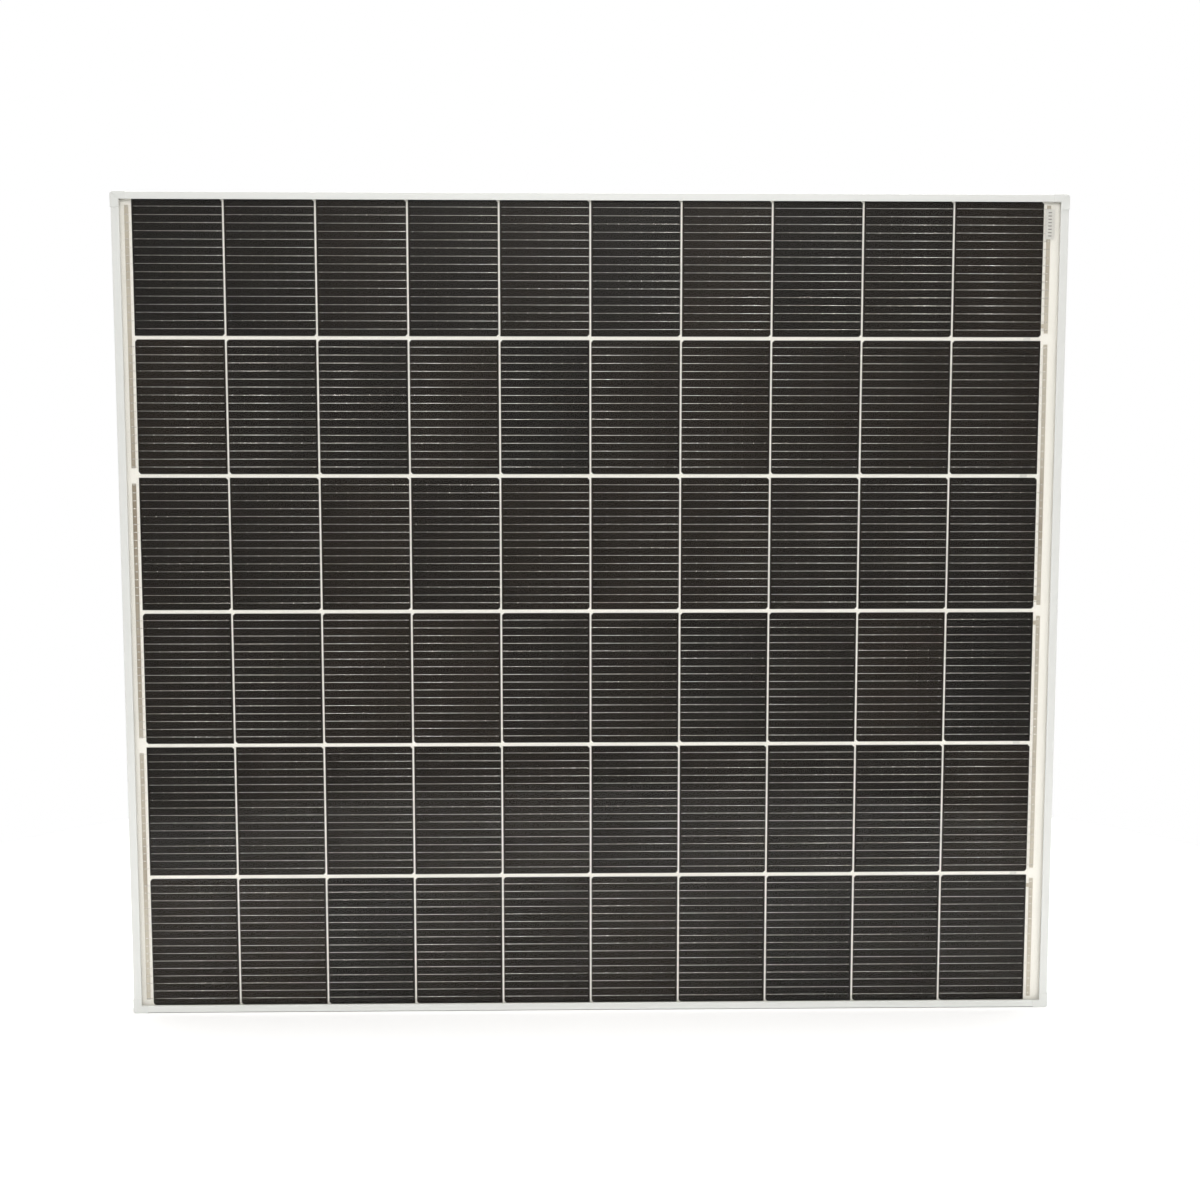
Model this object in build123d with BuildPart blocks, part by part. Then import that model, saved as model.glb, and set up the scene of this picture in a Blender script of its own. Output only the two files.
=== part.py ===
from build123d import *

import os

# A framed, glass-fronted photovoltaic module of sixty cells. X runs along the module, Z up and Y from the
# glass to the back. The origin is the middle of the frame's back plane.

# --- Frame ---
module_width = 1294.0
module_height = 1134.0
frame_depth = 30.0
wall = 1.5
lip_thickness = 1.6
side_lip = 11.0
end_lip = 9.5
side_scale = side_lip / end_lip
end_shelf = 12.0
end_chamber = 9.0
end_flange = 28.0
corner_chamfer = 1.2

# --- Holes in the frame ---
rack_inset = 19.0
rack_spacing_x = 790.0
rack_slot_length = 14.0
rack_slot_width = 9.0
tracker_spacing_x = 400.0
tracker_slot_length = 10.0
tracker_slot_width = 7.0
ground_inset = 24.0
ground_spacing_z = 900.0
ground_radius = 2.1
drain_inset = 17.0
drain_spacing_z = 1020.0
drain_length = 10.0
drain_width = 3.5

# --- Corner pieces ---
key_leg = 36.0
key_clearance = 0.12
cap_leg = 20.0
cap_thickness = 0.8
cap_radius = 4.5
cap_edge = 0.35
crease_width = 0.7
crease_depth = 0.35
crease_start = 1.6

# --- Laminate ---
seal_gap = 0.6
edge_gap = 1.2
glass_thickness = 3.2
glass_seam = 0.4
front_sheet = 0.4
rear_sheet = 0.6
backsheet_thickness = 0.3
lip_reveal = 1.2

# --- Cells ---
columns = 10
rows = 6
cell_width = 121.33
cell_height = 182.0
cell_thickness = 0.18
cell_corner = 3.0
column_pitch = 123.83
row_pitch = 187.0
matrix_shift = -3.2

# --- Wires and ribbons ---
wires = 16
wire_pitch = 10.85
wire_size = 0.24
wire_setback = 2.5
wire_clear = 0.4
bus_from_centre = 624.8
bus_width = 5.5
bus_thickness = 0.3
left_overrun = 1.5
right_overrun = 4.5
lead_turn_x = 596.0
insulation_margin = 2.0
insulation_thickness = 0.1
lead_bend_out = 618.4
lead_bend_in = 615.6
pocket_depth = 0.42
lead_slot_clear = 0.7

# --- Labels ---
label_width = 13.0
label_height = 40.0
label_offset = 1.8
label_thickness = 0.12
label_top = 548.5
rating_width = 100.0
rating_height = 62.0
rating_x = 330.0
rating_z = 250.0

# --- Junction box ---
box_x = 540.0
box_width = 76.0
box_length = 138.0
box_depth = 15.0
box_wall = 2.2
box_floor = 2.0
box_radius = 3.0
floor_slot_width = 7.0
floor_slot_length = 118.0
adhesive = 1.0
adhesive_band = 9.0
lid_thickness = 2.4
lid_clearance = 0.2
lid_chamfer = 0.6
panel_margin = 9.0
panel_depth = 0.5
panel_ribs = 9
panel_rib_pitch = 12.0
panel_rib_width = 3.0
rib_height = 1.2
rib_thickness = 1.2
rib_clearance = 0.5
gasket_inset = 0.7
gasket_width = 1.4
gasket_height = 1.2
hinge_offset = 2.8
hinge_rise = 0.8
pin_radius = 1.2
pin_clearance = 0.05
lug_clearance = 0.02
knuckle_radius = 2.6
knuckle_length = 10.0
lug_thickness = 3.0
knuckle_gap = 0.3
knuckle_z = 40.0
lug_root = 6.0
tongue_z = 36.0
tongue_width = 9.0
tongue_thickness = 1.6
tongue_length = 7.5
tongue_gap = 0.9
catch_size = 0.8
catch_high = 3.5
catch_low = 5.0
contact_spacing = 34.4
contact_width = 14.0
contact_length = 40.0
contact_thickness = 0.8
contact_rib = 2.5
diode_x = 546.0
diode_radius = 3.7
diode_length = 9.6
diode_lead_radius = 0.6
diode_overlap = 5.0
diode_edge = 0.8
gland_x = 519.0
gland_bore = 3.0
gland_clearance = 0.2
gland_tube = 5.0
gland_socket = 4.2
gland_reach = 13.0
collar_flats = 13.0
collar_length = 3.0
nut_flats = 13.6
nut_length = 10.0
nut_face = 2.0
nut_chamfer = 0.8
seal_length = 10.0
seal_clearance = 0.05

# --- Levels along Y, from the glass to the back ---
front_y = -frame_depth
lip_back_y = front_y + lip_thickness
glass_front_y = lip_back_y + seal_gap
glass_back_y = glass_front_y + glass_thickness
layer_front_y = glass_back_y + front_sheet
cell_front_y = layer_front_y + wire_size
cell_back_y = cell_front_y + cell_thickness
layer_back_y = cell_back_y + wire_size
bus_back_y = cell_front_y + bus_thickness
lead_front_y = layer_back_y + insulation_thickness
lead_back_y = lead_front_y + bus_thickness
rear_sheet_back_y = layer_back_y + rear_sheet
laminate_back_y = rear_sheet_back_y + backsheet_thickness
shelf_front_y = laminate_back_y + seal_gap
shelf_back_y = shelf_front_y + wall
flange_front_y = -wall
box_back_y = laminate_back_y + adhesive
floor_y = box_back_y + box_floor
rim_y = box_back_y + box_depth
contact_front_y = floor_y + contact_rib
contact_back_y = contact_front_y + contact_thickness
lid_back_y = rim_y + lid_thickness
hinge_y = rim_y + hinge_rise
gland_y = box_back_y + box_depth / 2

# --- Places across the module ---
half_width = module_width / 2
half_height = module_height / 2
side_chamber = end_chamber * side_scale
side_shelf = end_shelf * side_scale
side_flange = end_flange * side_scale
laminate_width = module_width - 2 * (wall + edge_gap)
laminate_height = module_height - 2 * (wall + edge_gap)
cell_edge = (columns - 1) / 2 * column_pitch + cell_width / 2
wire_reach = (wires - 1) / 2 * wire_pitch
bus_x = matrix_shift + bus_from_centre
box_left = box_x - box_width / 2
box_right = box_x + box_width / 2
box_end = box_length / 2
hinge_x = box_left - hinge_offset
entry_x = box_right - box_wall - 6.0

os.makedirs("parts", exist_ok=True)


def row_centre(row):
    """Height of a row's middle, with row 0 at the top."""
    return ((rows - 1) / 2 - row) * row_pitch


def slab_plane(back_y):
    """Plane facing the front; an extrusion from it grows from back_y towards the glass."""
    return Plane.XZ.offset(-back_y)


def box_between(x_span, y_span, z_span, mode=Mode.ADD):
    """Add or cut a box between pairs of limits, in either order."""
    spans = [sorted(x_span), sorted(y_span), sorted(z_span)]
    centre = [(low + high) / 2 for low, high in spans]
    size = [high - low for low, high in spans]
    with Locations(tuple(centre)):
        Box(*size, mode=mode)


def around(middle, width):
    """Limits of a span of the given width about its middle."""
    return (middle - width / 2, middle + width / 2)


# --- Frame rails: one hollow extrusion each, mitred on a line from the corner through the lips' meeting ---
def corner_point(sign_x, sign_z, along_x, along_z):
    """Point measured inwards from one of the frame's outer corners."""
    return (sign_x * (half_width - along_x), sign_z * (half_height - along_z))


def build_rail(node, inward, lip, chamber, shelf, flange):
    """One rail; its section is drawn with u inwards from the outer face and Y from front to back."""
    upright = inward.X != 0
    length = module_height if upright else module_width
    reach = half_width if upright else half_height
    middle = inward * -reach
    section = Plane(origin=middle, x_dir=inward, z_dir=inward.cross(Vector(0, 1, 0)))
    mitre = corner_chamfer / (side_lip + end_lip)
    with BuildPart() as rail:
        with BuildSketch(section):
            with Locations((wall / 2, front_y / 2)):
                Rectangle(wall, frame_depth)
            with Locations((lip / 2, front_y + lip_thickness / 2)):
                Rectangle(lip, lip_thickness)
            with Locations((shelf / 2, shelf_front_y + wall / 2)):
                Rectangle(shelf, wall)
            with Locations((chamber - wall / 2, shelf_back_y / 2)):
                Rectangle(wall, -shelf_back_y)
            with Locations((flange / 2, -wall / 2)):
                Rectangle(flange, wall)
        extrude(amount=length / 2, both=True)
        with BuildSketch(slab_plane(0)):
            outline = []
            for side in (-1, 1):
                signs = (-inward.X, side) if upright else (side, -inward.Z)
                chamfer_end = (0, corner_chamfer) if upright else (corner_chamfer, 0)
                ends = [
                    corner_point(*signs, *chamfer_end),
                    corner_point(*signs, mitre * side_lip, mitre * end_lip),
                    corner_point(*signs, side_flange, end_flange),
                ]
                outline += ends if side > 0 else ends[::-1]
            Polygon(*outline)
        extrude(amount=frame_depth, mode=Mode.INTERSECT)
        if upright:
            with BuildSketch(slab_plane(0)):
                with Locations((middle.X + inward.X * ground_inset, 0)):
                    with GridLocations(1, ground_spacing_z, 1, 2):
                        Circle(ground_radius)
                with Locations((middle.X + inward.X * drain_inset, 0)):
                    with GridLocations(1, drain_spacing_z, 1, 2):
                        SlotOverall(drain_length, drain_width, rotation=90)
            extrude(amount=wall, mode=Mode.SUBTRACT)
        else:
            with BuildSketch(slab_plane(0)):
                with Locations((0, middle.Z + inward.Z * rack_inset)):
                    with GridLocations(rack_spacing_x, 1, 2, 1):
                        SlotOverall(rack_slot_length, rack_slot_width)
                    with GridLocations(tracker_spacing_x, 1, 2, 1):
                        SlotOverall(tracker_slot_length, tracker_slot_width)
            extrude(amount=wall, mode=Mode.SUBTRACT)
    rail.part.label = node
    export_step(rail.part, f"parts/{node}.step")


build_rail("frame_rail_left", Vector(1, 0, 0), side_lip, side_chamber, side_shelf, side_flange)
build_rail("frame_rail_right", Vector(-1, 0, 0), side_lip, side_chamber, side_shelf, side_flange)
build_rail("frame_rail_top", Vector(0, 0, -1), end_lip, end_chamber, end_shelf, end_flange)
build_rail("frame_rail_bottom", Vector(0, 0, 1), end_lip, end_chamber, end_shelf, end_flange)

corners = {"top_left": (-1, 1), "top_right": (1, 1), "bottom_left": (-1, -1), "bottom_right": (1, -1)}

# --- Corner keys: L-shaped blocks pressed into the rails' hollow chambers ---
with BuildPart() as corner_keys:
    key_depth = (shelf_back_y + key_clearance, flange_front_y - key_clearance)
    near = wall + key_clearance
    for sign_x, sign_z in corners.values():
        inner_z = end_chamber - wall - key_clearance
        inner_x = (end_chamber - wall) * side_scale - key_clearance
        leg_x = (sign_x * (half_width - near), sign_x * (half_width - key_leg))
        leg_z = (sign_z * (half_height - near), sign_z * (half_height - key_leg))
        thick_x = (sign_x * (half_width - near), sign_x * (half_width - inner_x))
        thick_z = (sign_z * (half_height - near), sign_z * (half_height - inner_z))
        box_between(leg_x, key_depth, thick_z)
        box_between(thick_x, key_depth, leg_z)
corner_keys.part.label = "corner_keys"
export_step(corner_keys.part, "parts/corner_keys.step")


# --- Corner caps: moulded shells over the front lips and outer faces of each corner ---
def build_cap(node, sign_x, sign_z):
    """Cap with a rounded outer corner, an L-shaped front with a mitre crease, and two side walls."""
    middle_x = sign_x * (half_width + cap_thickness - (cap_leg + cap_thickness) / 2)
    middle_z = sign_z * (half_height + cap_thickness - (cap_leg + cap_thickness) / 2)
    block = cap_leg + cap_thickness
    with BuildPart() as cap:
        with BuildSketch(slab_plane(0)):
            with Locations((middle_x, middle_z)):
                Rectangle(block, block)
        extrude(amount=frame_depth + cap_thickness)
        outer_corner = cap.edges().filter_by(Axis.Y).group_by(Axis((0, 0, 0), (sign_x, 0, sign_z)))[-1]
        fillet(outer_corner, cap_radius)
        front_rim = cap.faces().sort_by(Axis.Y)[0].edges()
        outer_rim = [
            edge
            for edge in front_rim
            if sign_x * edge.center().X > half_width - cap_radius
            or sign_z * edge.center().Z > half_height - cap_radius
        ]
        chamfer(outer_rim, cap_edge)
        inner_x = (sign_x * (half_width - side_lip), sign_x * (half_width - cap_leg))
        inner_z = (sign_z * (half_height - end_lip), sign_z * (half_height - cap_leg))
        box_between(inner_x, (front_y - cap_thickness, 0), inner_z, mode=Mode.SUBTRACT)
        with BuildSketch(slab_plane(0)):
            frame_corner = [
                corner_point(sign_x, sign_z, 0, cap_leg),
                corner_point(sign_x, sign_z, 0, corner_chamfer),
                corner_point(sign_x, sign_z, corner_chamfer, 0),
                corner_point(sign_x, sign_z, cap_leg, 0),
                corner_point(sign_x, sign_z, cap_leg, cap_leg),
            ]
            Polygon(*frame_corner)
        extrude(amount=frame_depth, mode=Mode.SUBTRACT)
        crease_slope = end_lip / side_lip
        across = Vector(-sign_x * crease_slope, sign_z).normalized() * (crease_width / 2)
        outer_end = Vector(*corner_point(sign_x, sign_z, crease_start, crease_start * crease_slope))
        crease_reach = side_lip + crease_start
        inner_end = Vector(*corner_point(sign_x, sign_z, crease_reach, crease_reach * crease_slope))
        crease_corners = [outer_end - across, inner_end - across, inner_end + across, outer_end + across]
        with BuildSketch(slab_plane(front_y - cap_thickness + crease_depth)):
            Polygon(*[(corner.X, corner.Y) for corner in crease_corners])
        extrude(amount=crease_depth, mode=Mode.SUBTRACT)
    cap.part.label = node
    export_step(cap.part, f"parts/{node}.step")


for place, (sign_x, sign_z) in corners.items():
    build_cap(f"corner_cap_{place}", sign_x, sign_z)

# --- Edge seal: silicone that fills the frame's groove around the laminate ---
with BuildPart() as edge_seal:
    seal_layers = [
        (glass_front_y, seal_gap, side_lip - lip_reveal, end_lip - lip_reveal),
        (laminate_back_y, laminate_back_y - glass_front_y, wall + edge_gap, wall + edge_gap),
        (shelf_front_y, seal_gap, side_shelf - lip_reveal, end_shelf - lip_reveal),
    ]
    for back_y, depth, reach_x, reach_z in seal_layers:
        with BuildSketch(slab_plane(back_y)):
            Rectangle(module_width - 2 * wall, module_height - 2 * wall)
            Rectangle(module_width - 2 * reach_x, module_height - 2 * reach_z, mode=Mode.SUBTRACT)
        extrude(amount=depth)
edge_seal.part.label = "edge_seal"
export_step(edge_seal.part, "parts/edge_seal.step")

# --- Laminate sheets ---
with BuildPart() as front_glass:
    with BuildSketch(slab_plane(glass_back_y)):
        Rectangle(laminate_width, laminate_height)
    extrude(amount=glass_thickness)
    chamfer(front_glass.faces().filter_by(Axis.Y).edges(), glass_seam)
front_glass.part.label = "front_glass"
export_step(front_glass.part, "parts/front_glass.step")

label_x = bus_x + label_offset
label_z = label_top - label_height / 2
with BuildPart() as front_encapsulant:
    with BuildSketch(slab_plane(layer_front_y)):
        Rectangle(laminate_width, laminate_height)
    extrude(amount=front_sheet)
    label_pocket_y = (layer_front_y - label_thickness, layer_front_y)
    box_between(around(label_x, label_width), label_pocket_y, around(label_z, label_height), mode=Mode.SUBTRACT)
front_encapsulant.part.label = "front_encapsulant"
export_step(front_encapsulant.part, "parts/front_encapsulant.step")

with BuildPart() as serial_label:
    box_between(around(label_x, label_width), label_pocket_y, around(label_z, label_height))
serial_label.part.label = "serial_label"
export_step(serial_label.part, "parts/serial_label.step")

# --- Lead-outs: ribbons behind the cells from the right bus ribbons to the junction box ---
outer_leg_z = row_centre(0) - wire_reach + wire_pitch / 2
contact_places = [contact_spacing * (1.5 - index) for index in range(4)]
lead_legs = [outer_leg_z, contact_places[1], contact_places[2], -outer_leg_z]
cell_edge_x = matrix_shift + cell_edge


def lead_run(leg_z, contact_z, width, y_span, mode=Mode.ADD):
    """Flat run of one lead-out, its insulation or its pocket, from the cells' edge to the box's slot."""
    if leg_z == contact_z:
        box_between((cell_edge_x, entry_x), y_span, around(leg_z, width), mode=mode)
        return
    half = width / 2 if leg_z > contact_z else -width / 2
    box_between((cell_edge_x, lead_turn_x), y_span, around(leg_z, width), mode=mode)
    box_between(around(lead_turn_x, width), y_span, (leg_z + half, contact_z - half), mode=mode)
    box_between((lead_turn_x, entry_x), y_span, around(contact_z, width), mode=mode)


strip_width = bus_width + 2 * insulation_margin
slot_span_x = (entry_x - bus_thickness - lead_slot_clear, entry_x + lead_slot_clear)
slot_width = bus_width + 2 * lead_slot_clear
bus_outer_x = bus_x + bus_width / 2

with BuildPart() as rear_encapsulant:
    with BuildSketch(slab_plane(rear_sheet_back_y)):
        Rectangle(laminate_width, laminate_height)
    extrude(amount=rear_sheet)
    pocket_y = (layer_back_y, layer_back_y + pocket_depth)
    for leg_z, contact_z in zip(lead_legs, contact_places):
        lead_run(leg_z, contact_z, strip_width, pocket_y, mode=Mode.SUBTRACT)
        tab_x = (cell_edge_x, bus_outer_x + lead_slot_clear)
        box_between(tab_x, pocket_y, around(leg_z, strip_width), mode=Mode.SUBTRACT)
        slot_y = (layer_back_y, rear_sheet_back_y)
        box_between(slot_span_x, slot_y, around(contact_z, slot_width), mode=Mode.SUBTRACT)
rear_encapsulant.part.label = "rear_encapsulant"
export_step(rear_encapsulant.part, "parts/rear_encapsulant.step")

with BuildPart() as backsheet:
    with BuildSketch(slab_plane(laminate_back_y)):
        Rectangle(laminate_width, laminate_height)
    extrude(amount=backsheet_thickness)
    for contact_z in contact_places:
        slot_y = (rear_sheet_back_y, laminate_back_y)
        box_between(slot_span_x, slot_y, around(contact_z, slot_width), mode=Mode.SUBTRACT)
backsheet.part.label = "backsheet"
export_step(backsheet.part, "parts/backsheet.step")

with BuildPart() as lead_out_insulation:
    for leg_z, contact_z in zip(lead_legs, contact_places):
        lead_run(leg_z, contact_z, strip_width, (layer_back_y, lead_front_y))
lead_out_insulation.part.label = "lead_out_insulation"
export_step(lead_out_insulation.part, "parts/lead_out_insulation.step")

for number, (leg_z, contact_z) in enumerate(zip(lead_legs, contact_places), 1):
    with BuildPart() as lead_out:
        with BuildSketch(Plane.XY.offset(leg_z)):
            Polygon(
                (bus_outer_x, bus_back_y),
                (lead_bend_out, bus_back_y),
                (lead_bend_in, lead_front_y),
                (cell_edge_x, lead_front_y),
                (cell_edge_x, lead_back_y),
                (lead_bend_in, lead_back_y),
                (lead_bend_out, bus_back_y + bus_thickness),
                (bus_outer_x, bus_back_y + bus_thickness),
            )
        extrude(amount=bus_width / 2, both=True)
        lead_run(leg_z, contact_z, bus_width, (lead_front_y, lead_back_y))
        riser_x = (entry_x - bus_thickness, entry_x)
        box_between(riser_x, (lead_front_y, contact_back_y), around(contact_z, bus_width))
    lead_out.part.label = f"lead_out_{number}"
    export_step(lead_out.part, f"parts/lead_out_{number}.step")

# --- Bus ribbons: they join neighbouring rows in a serpentine and end at the four lead-outs ---
left_buses = {"upper": (0, 1), "middle": (2, 3), "lower": (4, 5)}
right_buses = {"top": (0, 0), "upper": (1, 2), "lower": (3, 4), "bottom": (5, 5)}


def build_bus(node, x, first_row, last_row, overrun):
    """Flat ribbon across the wires of its rows, and a little past the outermost ones."""
    top = row_centre(first_row) + wire_reach + overrun
    bottom = row_centre(last_row) - wire_reach - overrun
    with BuildPart() as bus:
        box_between(around(x, bus_width), (cell_front_y, bus_back_y), (bottom, top))
    bus.part.label = node
    export_step(bus.part, f"parts/{node}.step")


for place, (first_row, last_row) in left_buses.items():
    build_bus(f"bus_ribbon_left_{place}", matrix_shift - bus_from_centre, first_row, last_row, left_overrun)
for place, (first_row, last_row) in right_buses.items():
    build_bus(f"bus_ribbon_right_{place}", bus_x, first_row, last_row, right_overrun)


# --- Cells: two-thirds of a square wafer each, with the wafer's cut corners on one side only ---
def cell_outline(side):
    """Corner points of a cell about its centre; side is +1 when the cut corners are on the right."""
    half_w = cell_width / 2
    half_h = cell_height / 2
    return [
        (-side * half_w, -half_h),
        (side * (half_w - cell_corner), -half_h),
        (side * half_w, cell_corner - half_h),
        (side * half_w, half_h - cell_corner),
        (side * (half_w - cell_corner), half_h),
        (-side * half_w, half_h),
    ]


# --- Tabbing wires: each runs over the front of one cell and under the next ---
def wire_profile(side, gap):
    """Side view of one wire from gap to gap; gap 0 is at the feeding ribbon, the last at the far ribbon."""
    left_cell_end = gap * column_pitch - cell_edge - (column_pitch - cell_width)
    right_cell_start = gap * column_pitch - cell_edge
    start = left_cell_end - cell_width + wire_setback
    end = right_cell_start + cell_width - wire_setback
    bend = left_cell_end + wire_clear
    if gap == 0:
        start = -bus_from_centre - bus_width / 2
        bend = -bus_from_centre + bus_width / 2 + wire_clear
    if gap == columns:
        end = bus_from_centre + bus_width / 2
        front = [(start, layer_front_y), (end, layer_front_y), (end, cell_front_y), (start, cell_front_y)]
        return [(matrix_shift + side * x, y) for x, y in front]
    land = right_cell_start - wire_clear
    points = [
        (start, layer_front_y),
        (bend, layer_front_y),
        (land, cell_back_y),
        (end, cell_back_y),
        (end, layer_back_y),
        (land, layer_back_y),
        (bend, cell_front_y),
        (start, cell_front_y),
    ]
    return [(matrix_shift + side * x, y) for x, y in points]


for row in range(rows):
    side = 1 if row % 2 == 0 else -1
    with BuildPart() as cell_string:
        with BuildSketch(slab_plane(cell_back_y)):
            with Locations((matrix_shift, row_centre(row))):
                with GridLocations(column_pitch, 1, columns, 1):
                    Polygon(*cell_outline(side))
        extrude(amount=cell_thickness)
    cell_string.part.label = f"cell_string_{row + 1}"
    export_step(cell_string.part, f"parts/cell_string_{row + 1}.step")

    with BuildPart() as one_wire:
        with BuildSketch(Plane.XY.offset(row_centre(row))):
            for gap in range(columns + 1):
                Polygon(*wire_profile(side, gap))
        extrude(amount=wire_size / 2, both=True)
    with BuildPart() as tabbing_wires:
        with Locations(*[(0, 0, (index - (wires - 1) / 2) * wire_pitch) for index in range(wires)]):
            add(one_wire.part)
    tabbing_wires.part.label = f"tabbing_wires_{row + 1}"
    export_step(tabbing_wires.part, f"parts/tabbing_wires_{row + 1}.step")

# --- Rating label: a blank plate on the backsheet ---
with BuildPart() as rating_label:
    box_between(
        around(rating_x, rating_width),
        (laminate_back_y, laminate_back_y + label_thickness),
        around(rating_z, rating_height),
    )
rating_label.part.label = "rating_label"
export_step(rating_label.part, "parts/rating_label.step")

# --- Junction box ---
with BuildPart() as junction_box_adhesive:
    with BuildSketch(slab_plane(box_back_y)):
        with Locations((box_x, 0)):
            Rectangle(box_width - 2, box_length - 2)
            Rectangle(box_width - 2 * adhesive_band, box_length - 2 * adhesive_band, mode=Mode.SUBTRACT)
            with Locations((entry_x - box_x, 0)):
                Rectangle(floor_slot_width, floor_slot_length, mode=Mode.SUBTRACT)
    extrude(amount=adhesive)
junction_box_adhesive.part.label = "junction_box_adhesive"
export_step(junction_box_adhesive.part, "parts/junction_box_adhesive.step")

hinge_axis_plane = Plane(origin=(hinge_x, hinge_y, 0), x_dir=(1, 0, 0), z_dir=(0, 0, 1))
lug_offset = knuckle_length / 2 + knuckle_gap + lug_thickness / 2

with BuildPart() as junction_box_housing:
    with BuildSketch(slab_plane(rim_y)):
        with Locations((box_x, 0)):
            RectangleRounded(box_width, box_length, box_radius)
    extrude(amount=box_depth)
    with BuildSketch(slab_plane(rim_y)):
        with Locations((box_x, 0)):
            RectangleRounded(box_width - 2 * box_wall, box_length - 2 * box_wall, box_radius / 2)
    extrude(amount=box_depth - box_floor, mode=Mode.SUBTRACT)
    floor_slot_y = (box_back_y, floor_y)
    box_between(
        around(entry_x, floor_slot_width), floor_slot_y, around(0, floor_slot_length), mode=Mode.SUBTRACT
    )
    for contact_z in contact_places:
        rib_x = (entry_x - contact_length, entry_x - floor_slot_width)
        box_between(rib_x, (floor_y, contact_front_y), around(contact_z, contact_width - 4))
    for catch_z in (-tongue_z, tongue_z):
        catch_x = (box_right, box_right + catch_size)
        box_between(catch_x, (rim_y - catch_low, rim_y - catch_high), around(catch_z, tongue_width))
    for knuckle_side in (-knuckle_z, knuckle_z):
        for lug_side in (-lug_offset, lug_offset):
            lug_middle = knuckle_side + lug_side
            with BuildSketch(hinge_axis_plane.offset(lug_middle)):
                Circle(knuckle_radius)
                Polygon(
                    (-knuckle_radius, 0),
                    (-knuckle_radius, -knuckle_radius),
                    (hinge_offset, -lug_root),
                    (hinge_offset, 0),
                )
                Circle(pin_radius + lug_clearance, mode=Mode.SUBTRACT)
            extrude(amount=lug_thickness / 2, both=True)
    with BuildSketch(Plane(origin=(gland_x, gland_y, 0), x_dir=(1, 0, 0), z_dir=(0, 0, 1))):
        Circle(gland_tube)
    extrude(amount=box_end + 1, both=True, mode=Mode.SUBTRACT)
junction_box_housing.part.label = "junction_box_housing"
export_step(junction_box_housing.part, "parts/junction_box_housing.step")

for number, contact_z in enumerate(contact_places, 1):
    with BuildPart() as terminal_contact:
        contact_x = (entry_x - bus_thickness - contact_length, entry_x - bus_thickness)
        box_between(contact_x, (contact_front_y, contact_back_y), around(contact_z, contact_width))
    terminal_contact.part.label = f"terminal_contact_{number}"
    export_step(terminal_contact.part, f"parts/terminal_contact_{number}.step")

for number in range(1, 4):
    diode_z = (contact_places[number - 1] + contact_places[number]) / 2
    lead_length = contact_spacing - contact_width + 2 * diode_overlap
    axis_plane = Plane(
        origin=(diode_x, contact_back_y + diode_lead_radius, diode_z), x_dir=(1, 0, 0), z_dir=(0, 0, 1)
    )
    with BuildPart() as bypass_diode:
        with BuildSketch(axis_plane):
            Circle(diode_radius)
        extrude(amount=diode_length / 2, both=True)
        fillet(bypass_diode.edges(), diode_edge)
        with BuildSketch(axis_plane):
            Circle(diode_lead_radius)
        extrude(amount=lead_length / 2, both=True)
    bypass_diode.part.label = f"bypass_diode_{number}"
    export_step(bypass_diode.part, f"parts/bypass_diode_{number}.step")

# --- Lid: it swings on two moulded knuckles and its tongues snap over the housing's catches ---
with BuildPart() as junction_box_lid:
    plate_x = box_x + lid_clearance / 2
    plate_width = box_width - lid_clearance
    with BuildSketch(slab_plane(lid_back_y)):
        with Locations((plate_x, 0)):
            RectangleRounded(plate_width, box_length, box_radius)
    extrude(amount=lid_thickness)
    chamfer(junction_box_lid.faces().sort_by(Axis.Y)[-1].edges(), lid_chamfer)
    with BuildSketch(slab_plane(lid_back_y)):
        with Locations((plate_x, 0)):
            RectangleRounded(plate_width - 2 * panel_margin, box_length - 2 * panel_margin, box_radius)
    extrude(amount=panel_depth, mode=Mode.SUBTRACT)
    with BuildSketch(slab_plane(lid_back_y)):
        with Locations((plate_x, 0)):
            with GridLocations(1, panel_rib_pitch, 1, panel_ribs):
                SlotOverall(plate_width - 3 * panel_margin, panel_rib_width)
    extrude(amount=panel_depth)
    with BuildSketch(slab_plane(rim_y)):
        with Locations((box_x, 0)):
            rib_inset = box_wall + rib_clearance
            Rectangle(box_width - 2 * rib_inset, box_length - 2 * rib_inset)
            inner_inset = rib_inset + rib_thickness
            Rectangle(box_width - 2 * inner_inset, box_length - 2 * inner_inset, mode=Mode.SUBTRACT)
    extrude(amount=rib_height)
    for tongue_side in (-tongue_z, tongue_z):
        tongue_x = (box_right + tongue_gap, box_right + tongue_gap + tongue_thickness)
        box_between(tongue_x, (rim_y - tongue_length, lid_back_y), around(tongue_side, tongue_width))
        bridge_x = (box_right - tongue_thickness, box_right + tongue_gap)
        box_between(bridge_x, (rim_y + lid_chamfer, lid_back_y), around(tongue_side, tongue_width))
    for knuckle_side in (-knuckle_z, knuckle_z):
        with BuildSketch(hinge_axis_plane.offset(knuckle_side)):
            Circle(knuckle_radius)
            Polygon(
                (0, -hinge_rise),
                (hinge_offset + lid_thickness, -hinge_rise),
                (hinge_offset + lid_thickness, lid_thickness - hinge_rise),
                (0, lid_thickness - hinge_rise),
            )
            Circle(pin_radius + pin_clearance, mode=Mode.SUBTRACT)
        extrude(amount=knuckle_length / 2, both=True)
    with BuildSketch(slab_plane(rim_y + gasket_height)):
        with Locations((box_x, 0)):
            Rectangle(box_width - 2 * gasket_inset, box_length - 2 * gasket_inset)
            gasket_inner = gasket_inset + gasket_width
            Rectangle(box_width - 2 * gasket_inner, box_length - 2 * gasket_inner, mode=Mode.SUBTRACT)
    extrude(amount=gasket_height, mode=Mode.SUBTRACT)
junction_box_lid.part.label = "junction_box_lid"
export_step(junction_box_lid.part, "parts/junction_box_lid.step")

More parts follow.
